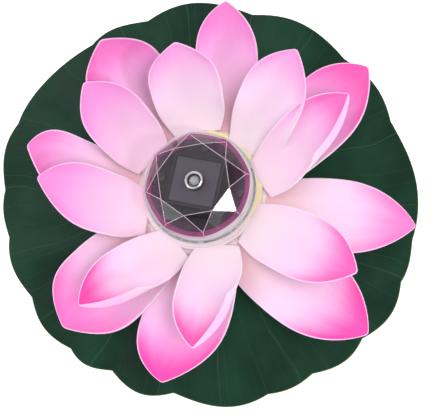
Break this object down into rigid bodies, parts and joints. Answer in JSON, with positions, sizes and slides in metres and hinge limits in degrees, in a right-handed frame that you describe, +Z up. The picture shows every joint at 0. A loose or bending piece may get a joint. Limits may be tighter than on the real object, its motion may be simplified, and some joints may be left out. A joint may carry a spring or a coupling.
{
  "type": "floating pool light",
  "caption": "Floating solar lotus light: foam petals in two layers on a scalloped leaf pad, round a clear faceted screw-on lens over a solar cell and lamp.",
  "frame": {"origin": "on the lamp's axis at the level of the housing's base, the face it stands on", "axes": "+Z up along the lamp's axis; +X and +Y across the leaf, with the most upright petals towards +Y"},
  "size_m": [0.2875, 0.2821, 0.075],
  "materials": {
    "housing_plastic": "satin",
    "clamp_plastic": "satin",
    "float_foam": "matte closed-cell foam",
    "leaf_foam": "satin foam sheet",
    "petal_foam": "printed foam sheet, magenta tips fading to white",
    "lens_plastic": "polished clear",
    "seal_silicone": "matte",
    "tint_plastic": "gloss",
    "tray_plastic": "satin",
    "steel": "plated",
    "solar_silicon": "dark glassy cell",
    "lamp_resin": "clear resin",
    "collar_chrome": "bright",
    "board_laminate": "satin",
    "chip_epoxy": "matte",
    "coil_copper": "enamelled winding",
    "capacitor_can": "sleeved",
    "cradle_plastic": "satin",
    "battery_can": "plated",
    "sleeve_film": "gloss film",
    "contact_metal": "plated spring metal",
    "pad_foam": "soft foam",
    "button_silicone": "matte",
    "switch_plastic": "matte",
    "wire_red": "gloss",
    "wire_black": "gloss",
    "wire_white": "gloss"
  },
  "bodies": {
    "base": {"lower_housing": "housing_plastic", "clamp_ring": "clamp_plastic", "foam_float": "float_foam", "leaf_pad": "leaf_foam", "outer_petals": "petal_foam", "inner_petals": "petal_foam", "tint_ring": "tint_plastic", "panel_tray": "tray_plastic", "tray_screws": "steel", "solar_cell": "solar_silicon", "led_holder": "tray_plastic", "led_lamp": "lamp_resin", "led_collar": "collar_chrome", "circuit_board": "board_laminate", "driver_chip": "chip_epoxy", "boost_coil": "coil_copper", "capacitor": "capacitor_can", "chip_resistors": "chip_epoxy", "board_screws": "steel", "battery_cradle": "cradle_plastic", "battery_cell": "battery_can", "battery_sleeve": "sleeve_film", "battery_terminal": "contact_metal", "contact_plate": "contact_metal", "contact_spring": "contact_metal", "switch_body": "switch_plastic", "switch_board": "board_laminate", "button_bezel": "cradle_plastic", "panel_lead_red": "wire_red", "panel_lead_black": "wire_black", "battery_lead_red": "wire_red", "battery_lead_black": "wire_black", "switch_leads": "wire_white"},
    "seal": {"lens_o_ring": "seal_silicone"},
    "cap": {"lens_cap": "lens_plastic"},
    "battery_hatch": {"battery_door": "clamp_plastic", "door_gasket": "seal_silicone", "door_screws": "steel", "battery_pad": "pad_foam"},
    "button": {"power_button": "button_silicone", "switch_plunger": "switch_plastic"}
  },
  "joints": [
    {"name": "cap_rise", "type": "slide", "parent": "base", "child": "seal", "axis": [0, 0, 1], "range_m": [0, 0.00333]},
    {"name": "cap_turn", "type": "hinge", "parent": "seal", "child": "cap", "pos_m": [0, 0, 0.04], "axis": [0, 0, 1], "range_deg": [0, 300]},
    {"name": "button_press", "type": "slide", "parent": "base", "child": "button", "axis": [0, 0, 1], "range_m": [0, 0.0012], "stiffness_N_per_m": 900},
    {"name": "battery_door_drop", "type": "slide", "parent": "base", "child": "battery_hatch", "axis": [0, 0, -1], "range_m": [0, 0.03]}
  ],
  "couplings": [
    {"joint": "cap_turn", "follows": "cap_rise", "rad_per_m": 1570.8}
  ]
}
